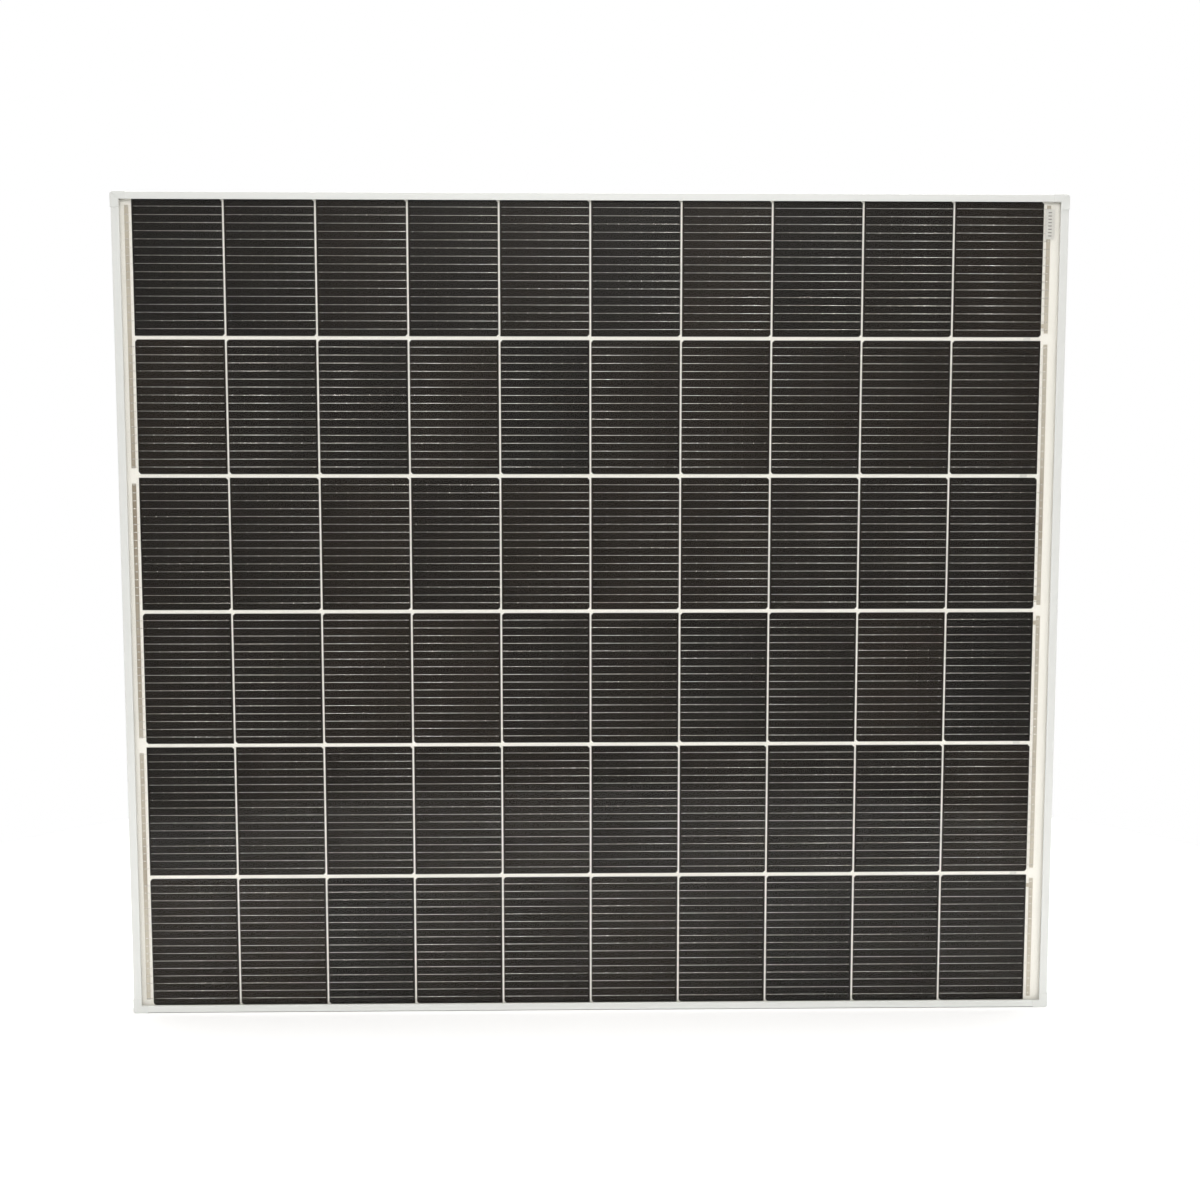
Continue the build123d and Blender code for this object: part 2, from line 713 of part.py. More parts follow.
with BuildPart() as lid_gasket:
    with BuildSketch(slab_plane(rim_y + gasket_height)):
        with Locations((box_x, 0)):
            Rectangle(box_width - 2 * gasket_inset, box_length - 2 * gasket_inset)
            Rectangle(box_width - 2 * gasket_inner, box_length - 2 * gasket_inner, mode=Mode.SUBTRACT)
    extrude(amount=gasket_height)
lid_gasket.part.label = "lid_gasket"
export_step(lid_gasket.part, "parts/lid_gasket.step")

with BuildPart() as lid_hinge_pins:
    for knuckle_side in (-knuckle_z, knuckle_z):
        with BuildSketch(hinge_axis_plane.offset(knuckle_side)):
            Circle(pin_radius)
        extrude(amount=lug_offset + lug_thickness / 2, both=True)
lid_hinge_pins.part.label = "lid_hinge_pins"
export_step(lid_hinge_pins.part, "parts/lid_hinge_pins.step")


# --- Cable glands: a threaded body through each end wall, a rubber seal in it and a cap nut over it ---
def gland_plane(sign, from_wall):
    """Plane across a gland, facing away from the box, at a distance outside its end wall."""
    return Plane(
        origin=(gland_x, gland_y, sign * (box_end + from_wall)), x_dir=(1, 0, 0), z_dir=(0, 0, sign)
    )


nut_start = gland_reach + nut_face - nut_length
for end, sign in {"upper": 1, "lower": -1}.items():
    with BuildPart() as gland_body:
        with BuildSketch(gland_plane(sign, -box_wall)):
            Circle(gland_tube)
            Circle(gland_bore + gland_clearance, mode=Mode.SUBTRACT)
        extrude(amount=box_wall + gland_reach)
        with BuildSketch(gland_plane(sign, 0)):
            RegularPolygon(collar_flats / 2, 6, major_radius=False)
            Circle(gland_tube, mode=Mode.SUBTRACT)
        extrude(amount=collar_length)
        with BuildSketch(gland_plane(sign, gland_reach)):
            Circle(gland_socket)
        extrude(amount=-seal_length, mode=Mode.SUBTRACT)
    gland_body.part.label = f"gland_body_{end}"
    export_step(gland_body.part, f"parts/gland_body_{end}.step")

    with BuildPart() as gland_nut:
        with BuildSketch(gland_plane(sign, nut_start)):
            RegularPolygon(nut_flats / 2, 6, major_radius=False)
        extrude(amount=nut_length)
        chamfer(gland_nut.faces().sort_by(Axis.Z)[-1 if sign > 0 else 0].edges(), nut_chamfer)
        with BuildSketch(gland_plane(sign, nut_start)):
            Circle(gland_tube + gland_clearance / 4)
        extrude(amount=nut_length - nut_face, mode=Mode.SUBTRACT)
        with BuildSketch(gland_plane(sign, nut_start)):
            Circle(gland_bore + gland_clearance)
        extrude(amount=nut_length, mode=Mode.SUBTRACT)
    gland_nut.part.label = f"gland_nut_{end}"
    export_step(gland_nut.part, f"parts/gland_nut_{end}.step")

with BuildPart() as gland_seals:
    for sign in (-1, 1):
        with BuildSketch(gland_plane(sign, gland_reach)):
            Circle(gland_socket - seal_clearance)
            Circle(gland_bore, mode=Mode.SUBTRACT)
        extrude(amount=-seal_length)
gland_seals.part.label = "gland_seals"
export_step(gland_seals.part, "parts/gland_seals.step")
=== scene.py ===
import math
import random

import bpy
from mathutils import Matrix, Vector


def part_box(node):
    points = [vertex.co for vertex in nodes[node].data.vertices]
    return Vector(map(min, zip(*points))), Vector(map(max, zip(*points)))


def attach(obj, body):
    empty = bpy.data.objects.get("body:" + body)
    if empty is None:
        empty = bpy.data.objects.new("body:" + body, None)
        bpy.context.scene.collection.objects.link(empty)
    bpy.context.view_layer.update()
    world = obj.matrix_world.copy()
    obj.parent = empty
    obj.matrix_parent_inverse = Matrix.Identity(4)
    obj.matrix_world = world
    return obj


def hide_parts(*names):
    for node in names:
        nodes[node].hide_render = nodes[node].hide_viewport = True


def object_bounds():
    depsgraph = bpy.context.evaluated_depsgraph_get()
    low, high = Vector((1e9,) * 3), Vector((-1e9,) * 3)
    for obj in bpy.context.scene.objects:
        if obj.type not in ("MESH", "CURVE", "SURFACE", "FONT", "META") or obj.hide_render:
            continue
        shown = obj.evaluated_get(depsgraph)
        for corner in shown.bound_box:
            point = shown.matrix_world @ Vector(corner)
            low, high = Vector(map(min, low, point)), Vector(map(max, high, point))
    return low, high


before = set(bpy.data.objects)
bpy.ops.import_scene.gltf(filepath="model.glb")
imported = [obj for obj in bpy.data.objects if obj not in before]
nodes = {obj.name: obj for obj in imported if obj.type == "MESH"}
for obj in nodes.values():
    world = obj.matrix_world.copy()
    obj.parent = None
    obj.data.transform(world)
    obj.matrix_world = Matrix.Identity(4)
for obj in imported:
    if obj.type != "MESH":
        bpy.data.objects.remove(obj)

# Looks of a framed, glass-fronted module of sixty cells. Metres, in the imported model's frame: X along the
# module, Z up, and Y from the glass to the back.
cad_low, cad_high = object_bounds()

millimetre = 0.001
columns = 10
rows = 6
wires = 16
wire_pitch = 10.85 * millimetre
wire_setback = 2.5 * millimetre
cell_width = 121.33 * millimetre
string_low, string_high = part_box("cell_string_1")
column_pitch = (string_high.x - string_low.x - cell_width) / (columns - 1)
row_pitch = (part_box("cell_string_1")[0].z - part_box("cell_string_6")[0].z) / (rows - 1)
matrix_x = (string_low.x + string_high.x) / 2
cell_front = string_low.y
cell_height = string_high.z - string_low.z


# --- Node trees ---
class Graph:
    """A material's node tree, built one node at a time. Patterns are placed in the model's own metres."""

    def __init__(self, name):
        self.material = bpy.data.materials.new(name)
        self.material.use_nodes = True
        self.tree = self.material.node_tree
        self.tree.nodes.clear()
        self.place = self.add("ShaderNodeTexCoord").outputs["Object"]
        split = self.add("ShaderNodeSeparateXYZ")
        self.tree.links.new(self.place, split.inputs[0])
        self.x = split.outputs["X"]
        self.z = split.outputs["Z"]

    def fill(self, socket, value):
        """Set a socket to a value, or link it to another socket."""
        if isinstance(value, bpy.types.NodeSocket):
            self.tree.links.new(value, socket)
        elif value is not None:
            socket.default_value = value

    def add(self, kind, **settings):
        node = self.tree.nodes.new(kind)
        for name, value in settings.items():
            setattr(node, name, value)
        return node

    def math(self, operation, first, second=None):
        node = self.add("ShaderNodeMath", operation=operation)
        self.fill(node.inputs[0], first)
        self.fill(node.inputs[1], second)
        return node.outputs[0]

    def noise(self, scale, detail=2.0, stretch=(1.0, 1.0, 1.0)):
        """Noise from 0 to 1; scale is in features per metre, and a stretch under 1 draws them out."""
        mapping = self.add("ShaderNodeMapping")
        self.fill(mapping.inputs["Vector"], self.place)
        self.fill(mapping.inputs["Scale"], stretch)
        node = self.add("ShaderNodeTexNoise")
        self.fill(node.inputs["Vector"], mapping.outputs[0])
        self.fill(node.inputs["Scale"], scale)
        self.fill(node.inputs["Detail"], detail)
        return node.outputs[0]

    def span(self, value, start, end, low=0.0, high=1.0, smooth=False):
        """value from start..end brought to low..high, and held there beyond."""
        node = self.add("ShaderNodeMapRange")
        if smooth:
            node.interpolation_type = "SMOOTHSTEP"
        for socket, number in zip(node.inputs[:5], (value, start, end, low, high)):
            self.fill(socket, number)
        return node.outputs[0]

    def line(self, value, pitch, width, offset=0.0):
        """1 on lines of the given width that repeat every pitch, 0 between them."""
        shifted = self.math("SUBTRACT", value, offset)
        fold = self.math("PINGPONG", shifted, pitch / 2)
        return self.math("LESS_THAN", fold, width / 2)

    def mix(self, factor, first, second):
        node = self.add("ShaderNodeMix", data_type="RGBA")
        for index, value in zip((0, 6, 7), (factor, first, second)):
            if isinstance(value, tuple):
                value = (*value, 1.0)
            self.fill(node.inputs[index], value)
        return node.outputs[2]

    def bump(self, height, depth, strength, under=None):
        """Bump whose full height is depth metres."""
        node = self.add("ShaderNodeBump")
        self.fill(node.inputs["Height"], height)
        self.fill(node.inputs["Distance"], depth)
        self.fill(node.inputs["Strength"], strength)
        self.fill(node.inputs["Normal"], under)
        return node.outputs[0]

    def principled(self, **inputs):
        node = self.add("ShaderNodeBsdfPrincipled")
        for name, value in inputs.items():
            if isinstance(value, tuple):
                value = (*value, 1.0)
            self.fill(node.inputs[name.replace("_", " ")], value)
        return node.outputs[0]

    def finish(self, shader):
        output = self.add("ShaderNodeOutputMaterial")
        self.fill(output.inputs["Surface"], shader)
        return self.material


# --- Materials ---
def anodised_aluminium(name, stretch):
    """Matt silver anodising with the fine die lines of the extrusion along it."""
    graph = Graph(name)
    lines = graph.noise(2600.0, 3.0, stretch)
    clouds = graph.noise(9.0, 3.0)
    grain = graph.noise(5200.0, 2.0)
    tone = graph.mix(lines, (0.64, 0.65, 0.63), (0.72, 0.73, 0.71))
    colour = graph.mix(graph.span(clouds, 0.3, 0.7, 0.0, 0.35), tone, (0.67, 0.67, 0.65))
    rough = graph.span(lines, 0.25, 0.75, 0.42, 0.54)
    relief = graph.bump(lines, 0.008 * millimetre, 0.4)
    normal = graph.bump(grain, 0.004 * millimetre, 0.4, relief)
    shader = graph.principled(
        Base_Color=colour, Metallic=0.08, Roughness=rough, Specular_IOR_Level=0.25, Normal=normal
    )
    return graph.finish(shader)


def moulded_plastic(name, dark, light, rough, grain_size, grain_depth, gloss=0.5):
    """Moulded plastic with a spark-eroded grain and faint flow marks."""
    graph = Graph(name)
    grain = graph.noise(1.0 / grain_size, 2.0)
    flow = graph.noise(22.0, 4.0, (1.0, 1.0, 0.35))
    colour = graph.mix(graph.span(flow, 0.3, 0.7), dark, light)
    roughness = graph.span(graph.math("ADD", grain, flow), 0.6, 1.4, rough - 0.07, rough + 0.07)
    normal = graph.bump(grain, grain_depth, 0.7)
    shader = graph.principled(
        Base_Color=colour, Roughness=roughness, Specular_IOR_Level=gloss, Normal=normal
    )
    return graph.finish(shader)


def metal(name, colour, stain, rough, stretch=(1.0, 1.0, 1.0), patch_scale=140.0, bright=1.0, relief=0.5):
    """Tinned or bare metal with soft stains and brushed roughness; bright is how mirror-like it is."""
    graph = Graph(name)
    patches = graph.noise(patch_scale, 4.0)
    brushed = graph.noise(1800.0, 2.0, stretch)
    tone = graph.mix(graph.span(patches, 0.42, 0.72), colour, stain)
    roughness = graph.span(brushed, 0.3, 0.7, rough - 0.08, rough + 0.1)
    normal = graph.bump(brushed, 0.01 * millimetre, relief)
    return graph.finish(
        graph.principled(Base_Color=tone, Metallic=bright, Roughness=roughness, Normal=normal)
    )


def pane_glass():
    """Clear low-iron glass with an anti-reflection coat, so that it mirrors little."""
    graph = Graph("front_glass")
    waves = graph.noise(14.0, 2.0, (1.0, 1.0, 1.6))
    smear = graph.noise(5.0, 4.0)
    mirror = graph.add("ShaderNodeBsdfGlossy")
    graph.fill(mirror.inputs["Roughness"], graph.span(smear, 0.35, 0.7, 0.05, 0.085))
    graph.fill(mirror.inputs["Normal"], graph.bump(waves, 0.3 * millimetre, 0.25))
    clear = graph.add("ShaderNodeBsdfTransparent")
    graph.fill(clear.inputs["Color"], (0.993, 0.99, 0.982, 1.0))
    rim = graph.add("ShaderNodeFresnel")
    graph.fill(rim.inputs["IOR"], 1.25)
    facing = graph.add("ShaderNodeNewGeometry")
    outside = graph.math("SUBTRACT", 1.0, facing.outputs["Backfacing"])
    both = graph.add("ShaderNodeMixShader")
    graph.fill(both.inputs[0], graph.math("MULTIPLY", rim.outputs[0], outside))
    graph.fill(both.inputs[1], clear.outputs[0])
    graph.fill(both.inputs[2], mirror.outputs[0])
    return graph.finish(both.outputs[0])


def encapsulant():
    """Cured clear sheet: all but invisible, a trace of haze in soft clouds."""
    graph = Graph("encapsulant")
    haze = graph.span(graph.noise(6.0, 3.0), 0.4, 0.8, 0.0, 0.001)
    clear = graph.add("ShaderNodeBsdfTransparent")
    graph.fill(clear.inputs["Color"], (0.997, 0.996, 0.992, 1.0))
    milk = graph.principled(Base_Color=(0.85, 0.85, 0.82), Roughness=0.4)
    both = graph.add("ShaderNodeMixShader")
    graph.fill(both.inputs[0], haze)
    graph.fill(both.inputs[1], clear.outputs[0])
    graph.fill(both.inputs[2], milk)
    return graph.finish(both.outputs[0])


def backsheet():
    """White laminate film, faintly embossed by the gaps between the cells."""
    graph = Graph("backsheet")
    weave = graph.noise(3500.0, 2.0)
    clouds = graph.noise(4.0, 3.0)
    fold_x = graph.math("PINGPONG", graph.math("SUBTRACT", graph.x, matrix_x), column_pitch / 2)
    fold_z = graph.math("PINGPONG", graph.z, row_pitch / 2)
    near_x = graph.span(fold_x, 0.0, 3.0 * millimetre, 1.0, 0.0, smooth=True)
    near_z = graph.span(fold_z, 0.0, 3.5 * millimetre, 1.0, 0.0, smooth=True)
    seams = graph.math("MAXIMUM", near_x, near_z)
    colour = graph.mix(graph.span(clouds, 0.3, 0.7), (0.93, 0.925, 0.9), (0.955, 0.95, 0.93))
    relief = graph.bump(seams, -0.05 * millimetre, 0.5)
    normal = graph.bump(weave, 0.012 * millimetre, 0.5, relief)
    rough = graph.span(weave, 0.3, 0.7, 0.38, 0.5)
    return graph.finish(graph.principled(Base_Color=colour, Roughness=rough, Normal=normal))


def silicon_cell():
    """Monocrystalline cell: near-black coat, fine silver fingers and a bare edge, each its own tone."""
    graph = Graph("silicon_cell")
    finger_pitch = 1.3 * millimetre
    finger_width = 0.05 * millimetre
    finger_strength = 0.22
    edge_band = 0.9 * millimetre
    from_left = graph.math("SUBTRACT", graph.x, matrix_x - columns / 2 * column_pitch)
    from_below = graph.math("SUBTRACT", graph.z, -rows / 2 * row_pitch)
    column = graph.math("FLOOR", graph.math("DIVIDE", from_left, column_pitch))
    row = graph.math("FLOOR", graph.math("DIVIDE", from_below, row_pitch))
    address = graph.add("ShaderNodeCombineXYZ")
    graph.fill(address.inputs[0], column)
    graph.fill(address.inputs[1], row)
    chance = graph.add("ShaderNodeTexWhiteNoise", noise_dimensions="2D")
    graph.fill(chance.inputs["Vector"], address.outputs[0])
    own_tone = chance.outputs["Value"]
    clouds = graph.noise(14.0, 3.0)
    shade = graph.math("ADD", graph.math("MULTIPLY", own_tone, 0.7), graph.math("MULTIPLY", clouds, 0.3))
    coat = graph.mix(shade, (0.0058, 0.0054, 0.005), (0.0132, 0.0095, 0.0066))
    in_column = graph.math("PINGPONG", from_left, column_pitch / 2)
    in_row = graph.math("PINGPONG", from_below, row_pitch / 2)
    gap_x = (column_pitch - cell_width) / 2
    gap_z = (row_pitch - cell_height) / 2
    inside_x = graph.math("GREATER_THAN", in_column, gap_x + edge_band)
    inside_z = graph.math("GREATER_THAN", in_row, gap_z + edge_band)
    inside = graph.math("MULTIPLY", inside_x, inside_z)
    fingers = graph.math("MULTIPLY", graph.line(graph.x, finger_pitch, finger_width), inside)
    bare = graph.mix(inside, (0.017, 0.015, 0.013), coat)
    colour = graph.mix(graph.math("MULTIPLY", fingers, finger_strength), bare, (0.3, 0.29, 0.27))
    rough = graph.span(graph.noise(900.0, 2.0), 0.3, 0.7, 0.3, 0.42)
    normal = graph.bump(fingers, 0.02 * millimetre, 0.4)
    return graph.finish(
        graph.principled(Base_Color=colour, Roughness=rough, Specular_IOR_Level=0.1, Normal=normal)
    )


def blank_label(name, low, high, rule_count, side_margin, ink_tone):
    """Blank white label with a thin printed border and plain rules that stand in for its print."""
    graph = Graph(name)
    paper = graph.noise(2400.0, 2.0)
    size_x = high.x - low.x
    size_z = high.z - low.z
    from_x = graph.math("SUBTRACT", graph.x, low.x)
    from_z = graph.math("SUBTRACT", graph.z, low.z)
    border_inset = min(size_x, size_z) * 0.09
    border_width = min(size_x, size_z) * 0.025
    border_strength = 0.1
    ink_strength = 0.8
    rule_pitch = size_z / rule_count
    rule_width = rule_pitch * 0.3
    edge_x = graph.math("PINGPONG", from_x, size_x / 2)
    edge_z = graph.math("PINGPONG", from_z, size_z / 2)
    edge = graph.math("MINIMUM", edge_x, edge_z)
    from_border = graph.math("ABSOLUTE", graph.math("SUBTRACT", edge, border_inset))
    border = graph.math("LESS_THAN", from_border, border_width / 2)
    inside_x = graph.math("GREATER_THAN", edge_x, size_x * side_margin)
    inside_z = graph.math("GREATER_THAN", edge_z, border_inset * 3)
    inside = graph.math("MULTIPLY", inside_x, inside_z)
    rules = graph.line(from_z, rule_pitch, rule_width)
    faint_border = graph.math("MULTIPLY", border, border_strength)
    ink = graph.math("MAXIMUM", faint_border, graph.math("MULTIPLY", rules, inside))
    white = graph.mix(paper, (0.84, 0.84, 0.82), (0.9, 0.9, 0.89))
    colour = graph.mix(graph.math("MULTIPLY", ink, ink_strength), white, ink_tone)
    normal = graph.bump(paper, 0.01 * millimetre, 0.4)
    return graph.finish(graph.principled(Base_Color=colour, Roughness=0.5, Normal=normal))


def diode_body():
    """Black epoxy barrel with one pale cathode band printed round it."""
    graph = Graph("diode")
    band_x = 0.5485
    band_width = 2.2 * millimetre
    band_repeat = 1.0
    grain = graph.noise(2600.0, 2.0)
    band = graph.line(graph.x, band_repeat, band_width, band_x)
    colour = graph.mix(band, (0.014, 0.014, 0.015), (0.55, 0.55, 0.54))
    rough = graph.span(grain, 0.3, 0.7, 0.28, 0.42)
    normal = graph.bump(grain, 0.01 * millimetre, 0.5)
    return graph.finish(graph.principled(Base_Color=colour, Roughness=rough, Normal=normal))


across_x = (0.002, 1.0, 1.0)
across_z = (1.0, 1.0, 0.002)
rail_x_material = anodised_aluminium("anodised_rail_x", across_x)
rail_z_material = anodised_aluminium("anodised_rail_z", across_z)
cap_material = moulded_plastic(
    "cap_plastic",
    (0.63, 0.64, 0.62),
    (0.69, 0.7, 0.68),
    rough=0.5,
    grain_size=0.0005,
    grain_depth=0.00002,
    gloss=0.25,
)
silicone_material = moulded_plastic(
    "silicone", (0.66, 0.66, 0.64), (0.76, 0.76, 0.74), rough=0.36, grain_size=0.004, grain_depth=0.0002
)
glass_material = pane_glass()
clear_material = encapsulant()
sheet_material = backsheet()
cell_material = silicon_cell()
wire_material = metal(
    "tinned_wire",
    (0.92, 0.91, 0.89),
    (0.78, 0.75, 0.7),
    rough=0.28,
    stretch=across_x,
    patch_scale=20.0,
    bright=0.85,
    relief=0.1,
)
ribbon_material = metal(
    "tinned_ribbon",
    (0.56, 0.52, 0.45),
    (0.3, 0.25, 0.19),
    rough=0.42,
    stretch=across_z,
    patch_scale=4.0,
    bright=0.5,
)
solder_material = metal("solder", (0.88, 0.88, 0.88), (0.78, 0.76, 0.72), rough=0.24)
film_material = moulded_plastic(
    "insulating_film", (0.7, 0.7, 0.68), (0.78, 0.78, 0.76), rough=0.45, grain_size=0.001, grain_depth=0.00001
)
box_material = moulded_plastic(
    "box_plastic",
    (0.011, 0.011, 0.012),
    (0.017, 0.017, 0.018),
    rough=0.5,
    grain_size=0.0006,
    grain_depth=0.00004,
)
contact_material = metal("contact_metal", (0.8, 0.79, 0.77), (0.66, 0.6, 0.5), rough=0.3, stretch=across_x)
steel_material = metal("hinge_steel", (0.6, 0.6, 0.6), (0.5, 0.49, 0.47), rough=0.28, stretch=across_z)
gland_material = moulded_plastic(
    "gland_plastic",
    (0.013, 0.013, 0.014),
    (0.02, 0.02, 0.021),
    rough=0.42,
    grain_size=0.0009,
    grain_depth=0.00003,
)
rubber_material = moulded_plastic(
    "gasket_rubber",
    (0.02, 0.02, 0.02),
    (0.032, 0.032, 0.031),
    rough=0.7,
    grain_size=0.0005,
    grain_depth=0.00003,
)
diode_material = diode_body()
serial_material = blank_label(
    "serial_label", *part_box("serial_label"), rule_count=9, side_margin=0.32, ink_tone=(0.22, 0.2, 0.2)
)
rating_material = blank_label(
    "rating_label", *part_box("rating_label"), rule_count=11, side_margin=0.1, ink_tone=(0.16, 0.16, 0.16)
)

finishes = {
    "frame_rail_top": rail_x_material,
    "frame_rail_bottom": rail_x_material,
    "frame_rail_left": rail_z_material,
    "frame_rail_right": rail_z_material,
    "corner_keys": rail_x_material,
    "corner_cap": cap_material,
    "edge_seal": silicone_material,
    "front_glass": glass_material,
    "front_encapsulant": clear_material,
    "rear_encapsulant": clear_material,
    "backsheet": sheet_material,
    "cell_string": cell_material,
    "tabbing_wires": wire_material,
    "bus_ribbon": ribbon_material,
    "lead_out_insulation": film_material,
    "lead_out": ribbon_material,
    "serial_label": serial_material,
    "rating_label": rating_material,
    "junction_box_adhesive": silicone_material,
    "junction_box_housing": box_material,
    "junction_box_lid": box_material,
    "lid_gasket": rubber_material,
    "lid_hinge_pins": steel_material,
    "bypass_diode": diode_material,
    "terminal_contact": contact_material,
    "gland_body": gland_material,
    "gland_nut": gland_material,
    "gland_seals": rubber_material,
}


def finish_for(name):
    """The finish whose key is the longest that the node's name starts with."""
    keys = [key for key in finishes if name.startswith(key)]
    return finishes[max(keys, key=len)]


for name, node in nodes.items():
    for material_slot in node.material_slots:
        material_slot.material = finish_for(name)


# --- Soft edges on the hard-cornered CAD pieces ---
weld_distance = 0.002 * millimetre
rail_edge = 0.45 * millimetre
sharp_angle = math.radians(35)


def soften(node):
    """Weld the tessellation's seams and round its edges a little."""
    weld = node.modifiers.new("weld", "WELD")
    weld.merge_threshold = weld_distance
    bevel = node.modifiers.new("soft_edges", "BEVEL")
    bevel.width = rail_edge
    bevel.segments = 2
    bevel.limit_method = "ANGLE"
    bevel.angle_limit = sharp_angle
    bevel.harden_normals = True


for name, node in nodes.items():
    if name.startswith("frame_rail"):
        soften(node)


# --- Round wires and their solder pads, in place of the square ones ---
def new_piece(name, vertices, faces, material):
    """Mesh object that rides on the module's body."""
    mesh = bpy.data.meshes.new(name)
    mesh.from_pydata(vertices, [], faces)
    mesh.materials.append(material)
    mesh.shade_smooth()
    piece = bpy.data.objects.new(name, mesh)
    bpy.context.scene.collection.objects.link(piece)
    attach(piece, "module")
    return piece


class Parts:
    """Vertices and faces of many small solids that share one mesh."""

    def __init__(self):
        self.vertices = []
        self.faces = []

    def rings(self, rings):
        """Closed skin over rings of equal counts, with its two ends capped."""
        first = len(self.vertices)
        sides = len(rings[0])
        for ring in rings:
            self.vertices += ring
        for level in range(len(rings) - 1):
            for side in range(sides):
                here = first + level * sides + side
                beside = first + level * sides + (side + 1) % sides
                self.faces.append((here, beside, beside + sides, here + sides))
        self.faces.append(tuple(range(first + sides - 1, first - 1, -1)))
        last = first + (len(rings) - 1) * sides
        self.faces.append(tuple(range(last, last + sides)))


wire_low, wire_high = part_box("tabbing_wires_1")
bus_low, bus_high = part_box("bus_ribbon_right_top")
wire_half_y = (cell_front - wire_low.y) / 2
wire_half_z = 0.24 * millimetre
wire_clear = 0.4 * millimetre
front_level = (wire_low.y + cell_front) / 2
rear_level = wire_high.y - wire_half_y
wire_sides = 8
wire_drift = 0.22 * millimetre
step_start = (0.3, 0.2)
step_end = (0.7, 0.8)
bus_half_x = (bus_high.x - bus_low.x) / 2
pads_per_cell = 8
pad_pitch = 15.5 * millimetre
pad_inset = 6.5 * millimetre
pad_half_x = 0.9 * millimetre
pad_half_z = 0.55 * millimetre
pad_height = 0.15 * millimetre
bus_joint_size = (2.3 * millimetre, 0.8 * millimetre, 0.13 * millimetre)
dome_sides = 8
dome_profile = ((1.0, 0.0), (0.82, 0.62), (0.45, 1.0))


def wire_path(gap):
    """One wire's x and y from gap to gap, for a string that starts on the left; x is from the middle."""
    bus_middle = (bus_low.x + bus_high.x) / 2 - matrix_x
    first_cell = -(columns - 1) / 2 * column_pitch - cell_width / 2
    left_end = first_cell + gap * column_pitch - (column_pitch - cell_width)
    right_start = first_cell + gap * column_pitch
    start = left_end - cell_width + wire_setback
    bend = left_end + wire_clear
    if gap == 0:
        start = -bus_middle - bus_half_x
        bend = -bus_middle + bus_half_x + wire_clear
    if gap == columns:
        return [(start, front_level), (bus_middle + bus_half_x, front_level)]
    land = right_start - wire_clear
    end = right_start + cell_width - wire_setback
    run = land - bend
    drop = rear_level - front_level
    return [
        (start, front_level),
        (bend, front_level),
        (bend + run * step_start[0], front_level + drop * step_start[1]),
        (bend + run * step_end[0], front_level + drop * step_end[1]),
        (land, rear_level),
        (end, rear_level),
    ]


def add_wire(parts, path, side, middle_z, drift_start, drift_end):
    """One wire of flattened round section along its path."""
    length = path[-1][0] - path[0][0]
    rings = []
    for x, y in path:
        share = (x - path[0][0]) / length
        z = middle_z + drift_start + (drift_end - drift_start) * share
        ring = []
        for index in range(wire_sides):
            turn = 2 * math.pi * (index + 0.5) / wire_sides
            ring_y = y + wire_half_y * math.cos(turn)
            ring_z = z + side * wire_half_z * math.sin(turn)
            ring.append((matrix_x + side * x, ring_y, ring_z))
        rings.append(ring)
    parts.rings(rings)


def add_dome(parts, x, z, half_x, half_z, height):
    """Low solder dome that stands on the cells' front, towards the glass."""
    rings = []
    for reach, rise in dome_profile:
        ring = []
        for index in range(dome_sides):
            turn = -2 * math.pi * (index + 0.5) / dome_sides
            ring_x = x + half_x * reach * math.cos(turn)
            ring_z = z + half_z * reach * math.sin(turn)
            ring.append((ring_x, cell_front - height * rise, ring_z))
        rings.append(ring)
    parts.rings(rings)


draw = random.Random(41)
bus_joints = Parts()
for row in range(rows):
    side = 1 if row % 2 == 0 else -1
    row_z = ((rows - 1) / 2 - row) * row_pitch
    parts = Parts()
    for wire in range(wires):
        wire_z = row_z + (wire - (wires - 1) / 2) * wire_pitch
        for gap in range(columns + 1):
            drift_start = draw.uniform(-wire_drift, wire_drift)
            drift_end = draw.uniform(-wire_drift, wire_drift)
            path = wire_path(gap)
            start_x = path[0][0]
            end_x = path[-1][0]
            add_wire(parts, path, side, wire_z, drift_start, drift_end)
            if gap == 0:
                add_dome(bus_joints, matrix_x + side * (start_x + bus_half_x), wire_z, *bus_joint_size)
                continue
            if gap == columns:
                add_dome(bus_joints, matrix_x + side * (end_x - bus_half_x), wire_z, *bus_joint_size)
            cell_x = (gap - 1 - (columns - 1) / 2) * column_pitch
            for pad in range(pads_per_cell):
                pad_x = cell_x + cell_width / 2 - pad_inset - pad * pad_pitch
                share = (pad_x - start_x) / (end_x - start_x)
                pad_z = wire_z + drift_start + (drift_end - drift_start) * share
                size = draw.uniform(0.8, 1.1)
                half_x = pad_half_x * size
                half_z = pad_half_z * size
                add_dome(parts, matrix_x + side * pad_x, pad_z, half_x, half_z, pad_height)
    piece = new_piece(f"soldered_wires_{row + 1}", parts.vertices, parts.faces, wire_material)
    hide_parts(f"tabbing_wires_{row + 1}")
new_piece("bus_solder_joints", bus_joints.vertices, bus_joints.faces, solder_material)

# --- Floor, soft studio light and camera ---
floor_radius = 1.5
floor_sides = 96
floor_z = cad_low.z - 0.2 * millimetre
floor_ring = [
    (
        floor_radius * math.cos(2 * math.pi * index / floor_sides),
        floor_radius * math.sin(2 * math.pi * index / floor_sides),
        floor_z,
    )
    for index in range(floor_sides)
]
floor_mesh = bpy.data.meshes.new("floor")
floor_mesh.from_pydata(floor_ring, [], [tuple(range(floor_sides))])
floor = bpy.data.objects.new("floor", floor_mesh)
bpy.context.scene.collection.objects.link(floor)
floor_graph = Graph("floor")
floor_shader = floor_graph.principled(Base_Color=(0.93, 0.93, 0.93), Roughness=0.9)
floor_mesh.materials.append(floor_graph.finish(floor_shader))


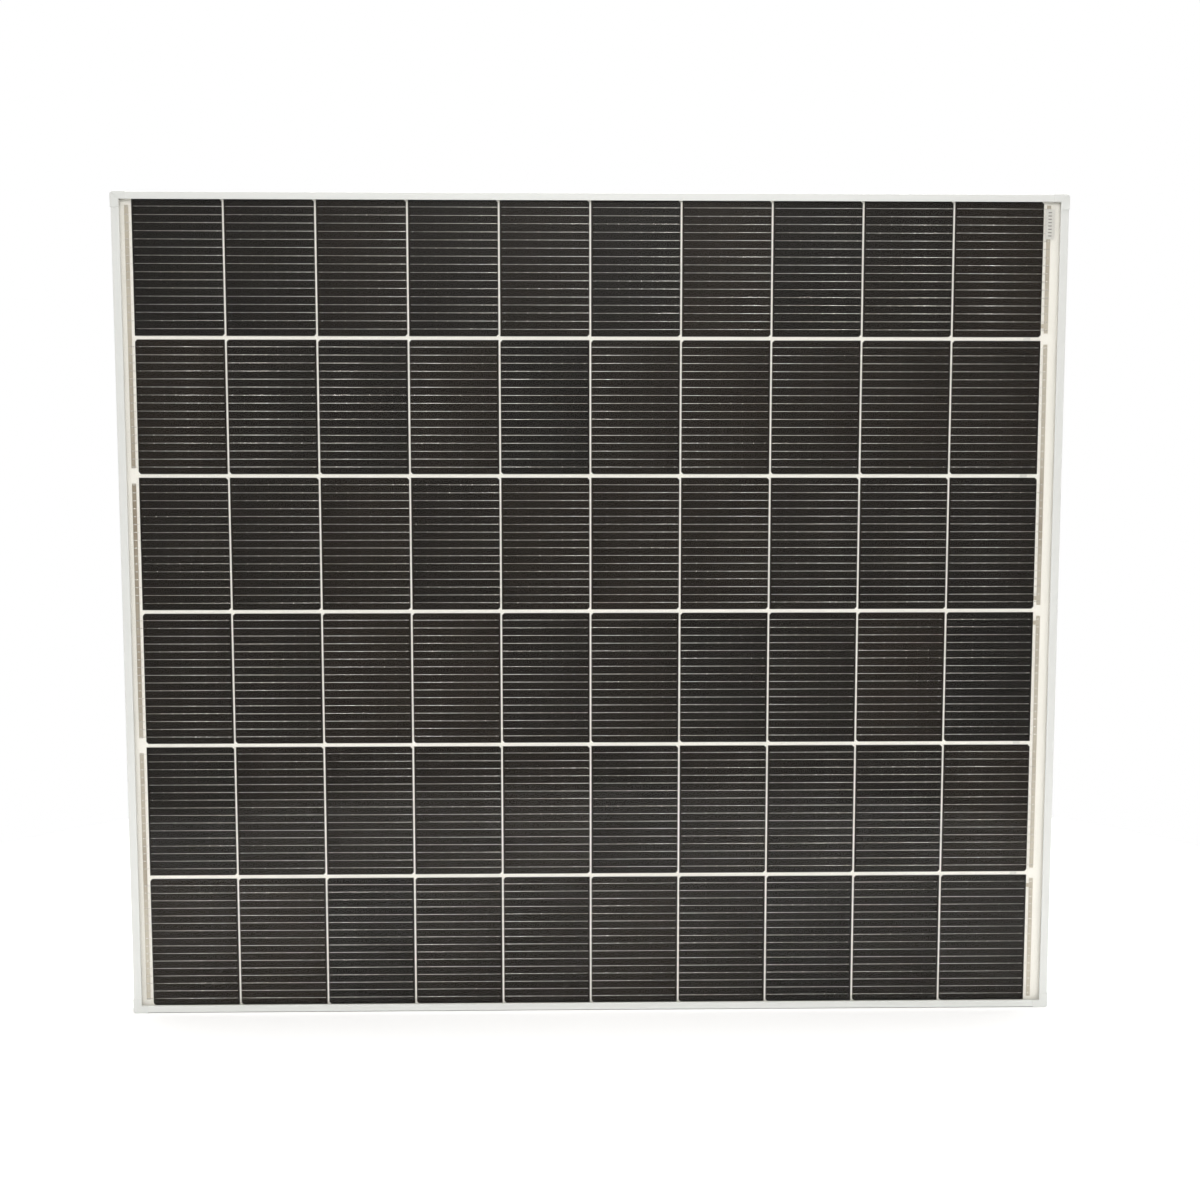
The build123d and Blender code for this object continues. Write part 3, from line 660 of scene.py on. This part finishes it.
def area_light(name, place, target, size_x, size_y, watts):
    lamp = bpy.data.lights.new(name, "AREA")
    lamp.shape = "RECTANGLE"
    lamp.size = size_x
    lamp.size_y = size_y
    lamp.energy = watts
    holder = bpy.data.objects.new(name, lamp)
    bpy.context.scene.collection.objects.link(holder)
    holder.location = place
    holder.rotation_mode = "QUATERNION"
    holder.rotation_quaternion = (Vector(target) - Vector(place)).to_track_quat("-Z", "Y")


area_light("front_top", (0.06, -2.6, 1.5), (0.0, 0.0, 0.0), 1.2, 0.7, 22.0)
area_light("above", (0.0, 0.3, 2.6), (0.0, -0.2, 0.0), 2.4, 1.6, 125.0)
area_light("behind", (1.6, 2.4, 1.6), (0.2, 0.0, 0.0), 0.9, 0.9, 8.0)

world = bpy.data.worlds.new("studio")
bpy.context.scene.world = world
world.use_nodes = True
sky = world.node_tree
sky.nodes.clear()


def sky_node(kind, **settings):
    node = sky.nodes.new(kind)
    for name, value in settings.items():
        setattr(node, name, value)
    return node


def sky_ramp(value, start, end, low, high):
    """A smooth ramp of value from start..end to low..high."""
    node = sky_node("ShaderNodeMapRange", interpolation_type="SMOOTHSTEP")
    sky.links.new(value, node.inputs[0])
    for socket, number in zip(node.inputs[1:5], (start, end, low, high)):
        socket.default_value = number
    return node.outputs[0]


direction = sky_node("ShaderNodeTexCoord").outputs["Generated"]
split = sky_node("ShaderNodeSeparateXYZ")
sky.links.new(direction, split.inputs[0])
rise = sky_ramp(split.outputs["Z"], -0.1, 0.6, 0.62, 0.9)
front = sky_ramp(split.outputs["Y"], -0.2, 0.6, 1.0, 0.42)
strength = sky_node("ShaderNodeMath", operation="MULTIPLY")
sky.links.new(rise, strength.inputs[0])
sky.links.new(front, strength.inputs[1])
plain = sky_node("ShaderNodeBackground")
plain.inputs["Color"].default_value = (1.0, 1.0, 1.0, 1.0)
soft = sky_node("ShaderNodeBackground")
soft.inputs["Color"].default_value = (1.0, 0.985, 0.96, 1.0)
sky.links.new(strength.outputs[0], soft.inputs["Strength"])
seen = sky_node("ShaderNodeLightPath")
either = sky_node("ShaderNodeMixShader")
sky.links.new(seen.outputs["Is Camera Ray"], either.inputs[0])
sky.links.new(soft.outputs[0], either.inputs[1])
sky.links.new(plain.outputs[0], either.inputs[2])
world_output = sky_node("ShaderNodeOutputWorld")
sky.links.new(either.outputs[0], world_output.inputs["Surface"])

camera_data = bpy.data.cameras.new("camera")
camera_data.lens = 43.11
camera_data.sensor_width = 36.0
camera = bpy.data.objects.new("camera", camera_data)
bpy.context.scene.collection.objects.link(camera)
camera.location = (-0.0262, -2.0086, 0.1924)
view_direction = Vector((0.018176, 0.995889, -0.088745))
camera.rotation_mode = "QUATERNION"
camera.rotation_quaternion = view_direction.to_track_quat("-Z", "Y")
bpy.context.scene.camera = camera
bpy.context.scene.view_settings.view_transform = "Standard"
bpy.context.scene.cycles.transparent_max_bounces = 24
